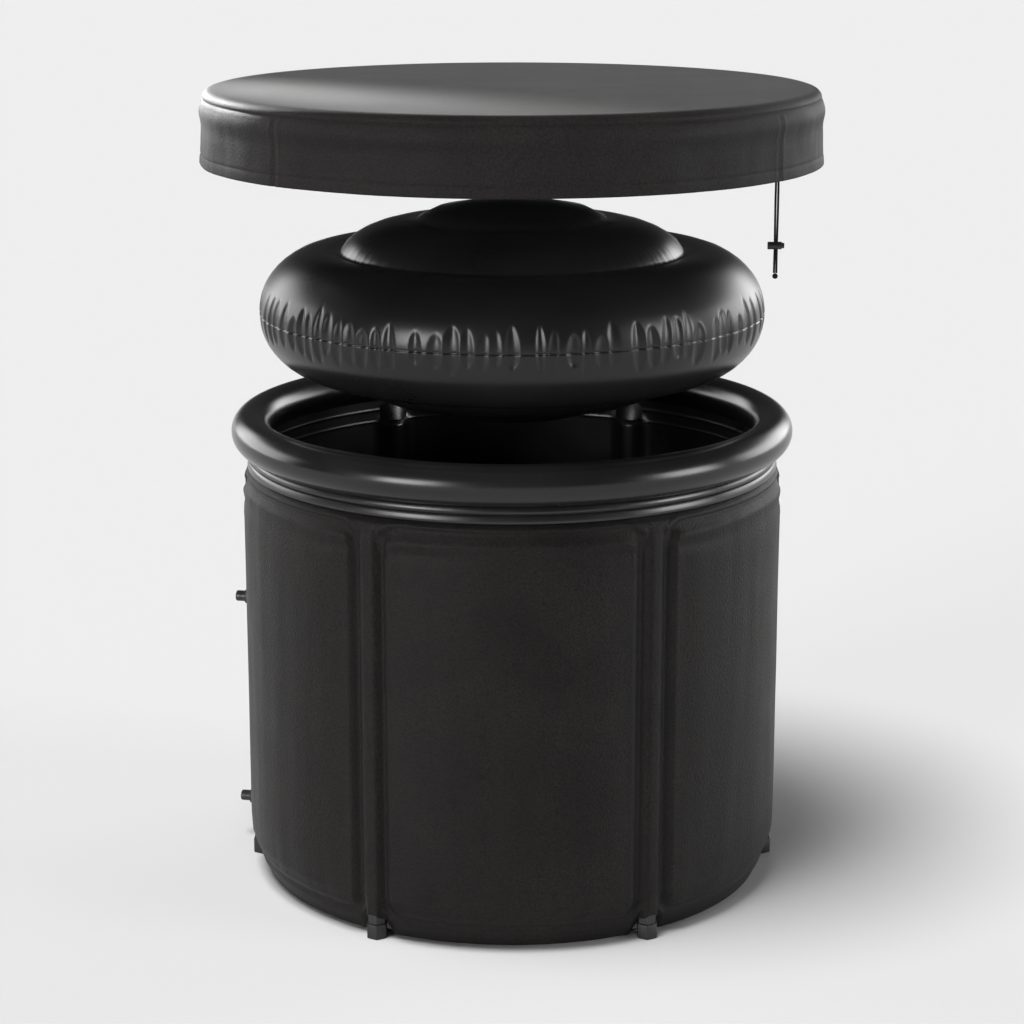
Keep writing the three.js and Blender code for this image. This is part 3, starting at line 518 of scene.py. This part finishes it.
while azimuth < math.tau - 0.02:
    wide, deep = chance.uniform(0.0080, 0.0145), chance.uniform(0.0020, 0.0044)
    above, below = chance.uniform(0.022, 0.046), chance.uniform(0.018, 0.038)
    lean = chance.uniform(-0.08, 0.08)
    gap = ((turn - azimuth + math.pi) % math.tau - math.pi) * LID_RADIUS - lean * off
    arch = np.sqrt(np.clip(1 - (off / np.where(off >= 0, above, below)) ** 2, 1e-6, 1))
    scoop = deep * arch ** 0.5 * np.clip(1 - (gap / (wide * arch)) ** 2, 0, 1)
    pucker = np.where(edge_of_lid, np.minimum(pucker, -scoop), pucker)
    azimuth += chance.choice([0.046, 0.060, 0.078, 0.105], p=[0.3, 0.35, 0.2, 0.15])
weld = -0.0026 * bell(off, 0, 0.0006) * (radius > 0.39)
gather = 0.0006 * bell(radius, FIRST_CREASE, 0.016) * ripple(turn, side, 30.0, 0.5, 41.0)
gather += 0.0004 * bell(radius, SECOND_CREASE, 0.014) * ripple(turn, side, 18.0, 0.5, 51.0)
grown = np.maximum(radius + pucker + weld, 0)
grown = np.where(radius < 1e-6, 0, grown)
place[:, 0], place[:, 1] = grown * np.sin(turn), -grown * np.cos(turn)
place[:, 2] += gather * side
reshape(lid, place)
band = lid.vertex_groups.new(name="weld_band")
band.add(np.flatnonzero(edge_of_lid & (np.abs(off) > WELD_HALF_WIDE)).tolist(), 1.0, "REPLACE")
ease = lid.modifiers.new("Ease", "SMOOTH")
ease.vertex_group = band.name
ease.factor = 0.5
ease.iterations = 5
bpy.ops.object.modifier_apply(modifier=ease.name)
smooth(lid)
finish(lid, lid_pvc, "lid", "lid_pvc", "lid_top_skin", "lid_bottom_skin")
for node in ("lid_outer_web", "lid_inner_web"):
    dress(node, lid_pvc)


# Cover: a round top and two skirt strips of woven cloth, sewn together along a rolled edge.
# The hem is folded inwards and stitched, so that the drawcord runs in it; the skirt hangs a
# little uneven, and two upright seams join its strips.

cover_cloth = material(
    "Woven cover cloth", (0.0078, 0.0068, 0.0065), (0.0114, 0.0102, 0.0098), 0.64, spread=0.06, patch=7.0,
    grain=360.0, bump=0.7, depth=0.0009, speck=0.5,
    sockets={"Specular IOR Level": 0.17, "Sheen Weight": 0.07, "Sheen Roughness": 0.35})
COVER_TOP = 1.252
COVER_CLOTH = 0.0016
SKIRT = 0.476
SKIRT_TOP, SKIRT_TALL, SKIRT_FLARE = 1.2345, 0.0955, 0.007
outside = [(0.0, COVER_TOP)] + [(r, COVER_TOP) for r in np.linspace(0.03, 0.445, 30)]
outside += [(0.452, 1.2521), (0.4575, 1.2521), (0.4620, 1.2517), (0.4660, 1.2505), (0.4694, 1.2483),
            (0.4717, 1.2455), (0.4728, 1.2425), (0.4728, 1.2405), (0.4716, 1.2390), (0.4713, 1.2378),
            (0.4720, 1.2365), (0.4731, 1.2345)]
outside += [(0.473 + SKIRT_FLARE * (SKIRT_TOP - z) / SKIRT_TALL, z) for z in np.linspace(1.2318, 1.1585, 26)]
outside += [(0.4782, 1.1568), (0.4779, 1.1556), (0.4783, 1.1545), (0.4792, 1.1520), (0.4797, 1.1480),
            (0.4800, 1.1430), (0.4800, 1.1402), (0.4793, 1.1391)]
inside = [(0.4735, 1.1391), (0.4718, 1.1405), (0.4716, 1.1450), (0.4719, 1.1510), (0.4735, 1.1548),
          (0.4760, 1.1568)]
inside += [(0.4714 + SKIRT_FLARE * (SKIRT_TOP - z) / SKIRT_TALL, z) for z in np.linspace(1.162, SKIRT_TOP, 16)]
inside += [(0.4708, 1.2400), (0.4704, 1.2440), (0.4683, 1.2474), (0.4650, 1.2494), (0.4610, 1.2503),
           (0.452, 1.2504)]
inside += [(r, COVER_TOP - COVER_CLOTH) for r in np.linspace(0.44, 0.03, 16)] + [(0.0, COVER_TOP - COVER_CLOTH)]
cover = turned("cover_cloth", outside + inside, 480)
place = points(cover)
radius = np.hypot(place[:, 0], place[:, 1])
turn = np.arctan2(place[:, 0], -place[:, 1])
drop = np.clip((1.240 - place[:, 2]) / 0.1, 0, 1) * (radius > 0.462)
sway = 0.0032 * ripple(turn, place[:, 2], 2.6, 6.0, 61.0)
sway += 0.0016 * ripple(turn, place[:, 2], 7.0, 9.0, 71.0)
sway += 0.0007 * ripple(turn, place[:, 2], 22.0, 14.0, 81.0)
sway *= np.sin(np.clip(drop, 0, 1) * math.pi * 0.75) ** 0.8
for seam in (-45, 54):
    gap = ((turn - math.radians(seam) + math.pi) % math.tau - math.pi) * SKIRT
    sewn = -0.0016 * bell(gap, 0, 0.0022) + 0.0008 * bell(np.abs(gap), 0.006, 0.003)
    sway += sewn * rise(drop, 0.02, 0.1)
bulge = 0.0060 * bell(place[:, 2], 1.220, 0.017) + 0.0010 * bell(place[:, 2], 1.186, 0.015)
sway += bulge * (radius > 0.465)
shifted = np.where(radius < 1e-6, 0, radius + sway)
place[:, 0], place[:, 1] = shifted * np.sin(turn), -shifted * np.cos(turn)
reshape(cover, place)
smooth(cover, 60)
finish(cover, cover_cloth, "cover", "cover_cloth",
       "cover_top", "cover_skirt_front", "cover_skirt_back", "cover_hem")


# Drawcord: a round braided cord in the hem; both ends leave it beside the right-hand seam.
# They hang side by side, run through a moulded spring lock with rounded edges and end in one knot.

cord_braid = material("Cord braid", (0.003, 0.003, 0.003), (0.006, 0.006, 0.006), 0.7, patch=300.0,
                      grain=1200.0, bump=0.6, depth=0.0005, stretch=(1, 1, 0.4),
                      sockets={"Specular IOR Level": 0.15})
dress("hem_drawcord", cord_braid)
TAIL = (0.38363, -0.27872)
HEM_Z, END_Z = 1.1456, 1.0057
APART = 0.00175
CORD_THICK = 0.0032
POINTS = 12
for number, hand in ((1, -1), (2, 1)):
    line = bpy.data.curves.new(f"drawcord_end_{number}", "CURVE")
    line.dimensions = "3D"
    line.bevel_depth = CORD_THICK / 2
    line.bevel_resolution = 4
    line.resolution_u = 6
    spline = line.splines.new("NURBS")
    spline.points.add(POINTS - 1)
    for point, share in zip(spline.points, np.linspace(0, 1, POINTS)):
        bow = APART + 0.0002 * math.sin(2 * math.pi * share)
        point.co = (TAIL[0] + hand * bow, TAIL[1], HEM_Z + (END_Z - HEM_Z) * share, 1)
    spline.use_endpoint_u = True
    spline.order_u = 3
    tail = bpy.data.objects.new(f"drawcord_end_{number}", line)
    bpy.context.scene.collection.objects.link(tail)
    finish(tail, cord_braid, "cover", "cord", f"drawcord_tail_{number}")

lock_plastic = material("Lock plastic", (0.005, 0.005, 0.0053), (0.008, 0.008, 0.0084), 0.35, patch=60.0,
                        grain=1500.0)
spring_steel = material("Spring steel", (0.35, 0.35, 0.36), (0.45, 0.45, 0.46), 0.3, patch=200.0, grain=900.0,
                        sockets={"Metallic": 1.0})
dress("drawcord_knot", cord_braid)
barrel = bpy.data.objects.new("lock_barrel", nodes["cord_lock_body"].data.copy())
barrel.matrix_world = nodes["cord_lock_body"].matrix_world
bpy.context.scene.collection.objects.link(barrel)
bpy.ops.object.select_all(action="DESELECT")
barrel.select_set(True)
bpy.context.view_layer.objects.active = barrel
bpy.ops.object.mode_set(mode="EDIT")
bpy.ops.mesh.select_all(action="SELECT")
bpy.ops.mesh.remove_doubles(threshold=0.00001)
bpy.ops.mesh.dissolve_limited(angle_limit=math.radians(1))
bpy.ops.object.mode_set(mode="OBJECT")
round_off = barrel.modifiers.new("Round", "BEVEL")
round_off.width = 0.0011
round_off.segments = 3
round_off.limit_method = "ANGLE"
round_off.angle_limit = math.radians(50)
bpy.ops.object.modifier_apply(modifier=round_off.name)
smooth(barrel, 50)
finish(barrel, lock_plastic, "cord_lock", "lock_plastic", "cord_lock_body")
dress("cord_lock_button", lock_plastic)
dress("cord_lock_spring", spring_steel)


# Floor, light and camera: a pale studio floor, a high soft light from the front left, and
# bright panels far off on both sides that draw the edges. A small box with a grid, behind on
# the left, puts the highlight on the cover's top.

bpy.ops.object.select_all(action="DESELECT")
bpy.ops.mesh.primitive_plane_add(size=120)
floor = bpy.context.object
floor.name = "studio_floor"
FLOOR_GREY = (0.52, 0.52, 0.52)
floor_paint = material("Studio floor", FLOOR_GREY, FLOOR_GREY, 0.9, grain=50.0, bump=0.0,
                       sockets={"Specular IOR Level": 0.0})
floor.data.materials.append(floor_paint)

world = bpy.data.worlds.new("Studio")
bpy.context.scene.world = world
world.use_nodes = True
tree = world.node_tree
tree.nodes.clear()
way = tree.nodes.new("ShaderNodeTexCoord")


def reckon(operation, first, second):
    """A maths node on two numbers or sockets."""
    node = tree.nodes.new("ShaderNodeMath")
    node.operation = operation
    for socket, value in zip(node.inputs, (first, second)):
        if isinstance(value, (int, float)):
            socket.default_value = value
        else:
            tree.links.new(value, socket)
    return node.outputs["Value"]


def along(axis):
    """How far the ray's direction runs along the axis."""
    node = tree.nodes.new("ShaderNodeVectorMath")
    node.operation = "DOT_PRODUCT"
    node.inputs[1].default_value = axis
    tree.links.new(way.outputs["Generated"], node.inputs[0])
    return node.outputs["Value"]


ALL_ROUND = 0.065
SOFT_FROM, SOFT_TO = 1.35, 0.65
total = ALL_ROUND
for aim, wide, tall, power in (
        ((-0.80, 0.60, 0.10), 24, 17, 4.2),
        ((0.76, 0.64, 0.08), 24, 16, 5.4),
        ((-0.67, -0.74, 0.10), 11, 14, 14.0),
        ((0.96, -0.26, 0.11), 12, 14, 11.0)):
    ahead = Vector(aim).normalized()
    side = ahead.cross(Vector((0, 0, 1))).normalized()
    depth = reckon("MAXIMUM", along(ahead), 0.001)
    light = power
    for axis, half in ((side, wide), (side.cross(ahead), tall)):
        offset = reckon("DIVIDE", reckon("ABSOLUTE", along(axis), 0.0), depth)
        fade = tree.nodes.new("ShaderNodeMapRange")
        fade.interpolation_type = "SMOOTHSTEP"
        fade.inputs["From Min"].default_value = SOFT_FROM * math.tan(math.radians(half))
        fade.inputs["From Max"].default_value = SOFT_TO * math.tan(math.radians(half))
        tree.links.new(offset, fade.inputs["Value"])
        light = reckon("MULTIPLY", fade.outputs["Result"], light)
    total = reckon("ADD", light, total)
lit = tree.nodes.new("ShaderNodeBackground")
lit.inputs["Color"].default_value = (1, 1, 1, 1)
tree.links.new(total, lit.inputs["Strength"])
plain = tree.nodes.new("ShaderNodeBackground")
plain.inputs["Color"].default_value = (0.863, 0.863, 0.863, 1)
ray = tree.nodes.new("ShaderNodeLightPath")
choose = tree.nodes.new("ShaderNodeMixShader")
tree.links.new(ray.outputs["Is Camera Ray"], choose.inputs["Fac"])
tree.links.new(lit.outputs["Background"], choose.inputs[1])
tree.links.new(plain.outputs["Background"], choose.inputs[2])
result = tree.nodes.new("ShaderNodeOutputWorld")
tree.links.new(choose.outputs["Shader"], result.inputs["Surface"])

grid = bpy.data.lights.new("gridded_box", "AREA")
grid.shape = "RECTANGLE"
grid.size, grid.size_y = 0.14, 0.10
grid.spread = math.radians(20)
grid.energy = 1.0
box = bpy.data.objects.new("gridded_box", grid)
box.location = (-0.98, 0.62, 1.56)
box.rotation_mode = "QUATERNION"
box.rotation_quaternion = Vector((0.55, -0.62, -0.24)).to_track_quat("-Z", "Y")
bpy.context.scene.collection.objects.link(box)
overhead = bpy.data.lights.new("overhead", "SUN")
overhead.energy = 4.0
overhead.angle = math.radians(24)
lamp = bpy.data.objects.new("overhead", overhead)
lamp.rotation_mode = "QUATERNION"
lamp.rotation_quaternion = Vector((0.20, 0.15, -0.97)).to_track_quat("-Z", "Y")
lamp.visible_glossy = False
bpy.context.scene.collection.objects.link(lamp)

SENSOR = 36
FOCAL_PIXELS, PICTURE_PIXELS = 2645.5, 1024
LOOKS_DOWN = 14.108
lens = bpy.data.cameras.new("camera")
lens.sensor_width = SENSOR
lens.lens = SENSOR * FOCAL_PIXELS / PICTURE_PIXELS
lens.clip_end = 200
eye = bpy.data.objects.new("camera", lens)
eye.location = (0, -4.1046, 1.6080)
eye.rotation_euler = (math.radians(90 - LOOKS_DOWN), 0, 0)
bpy.context.scene.collection.objects.link(eye)
bpy.context.scene.camera = eye
bpy.context.scene.view_settings.view_transform = "Standard"
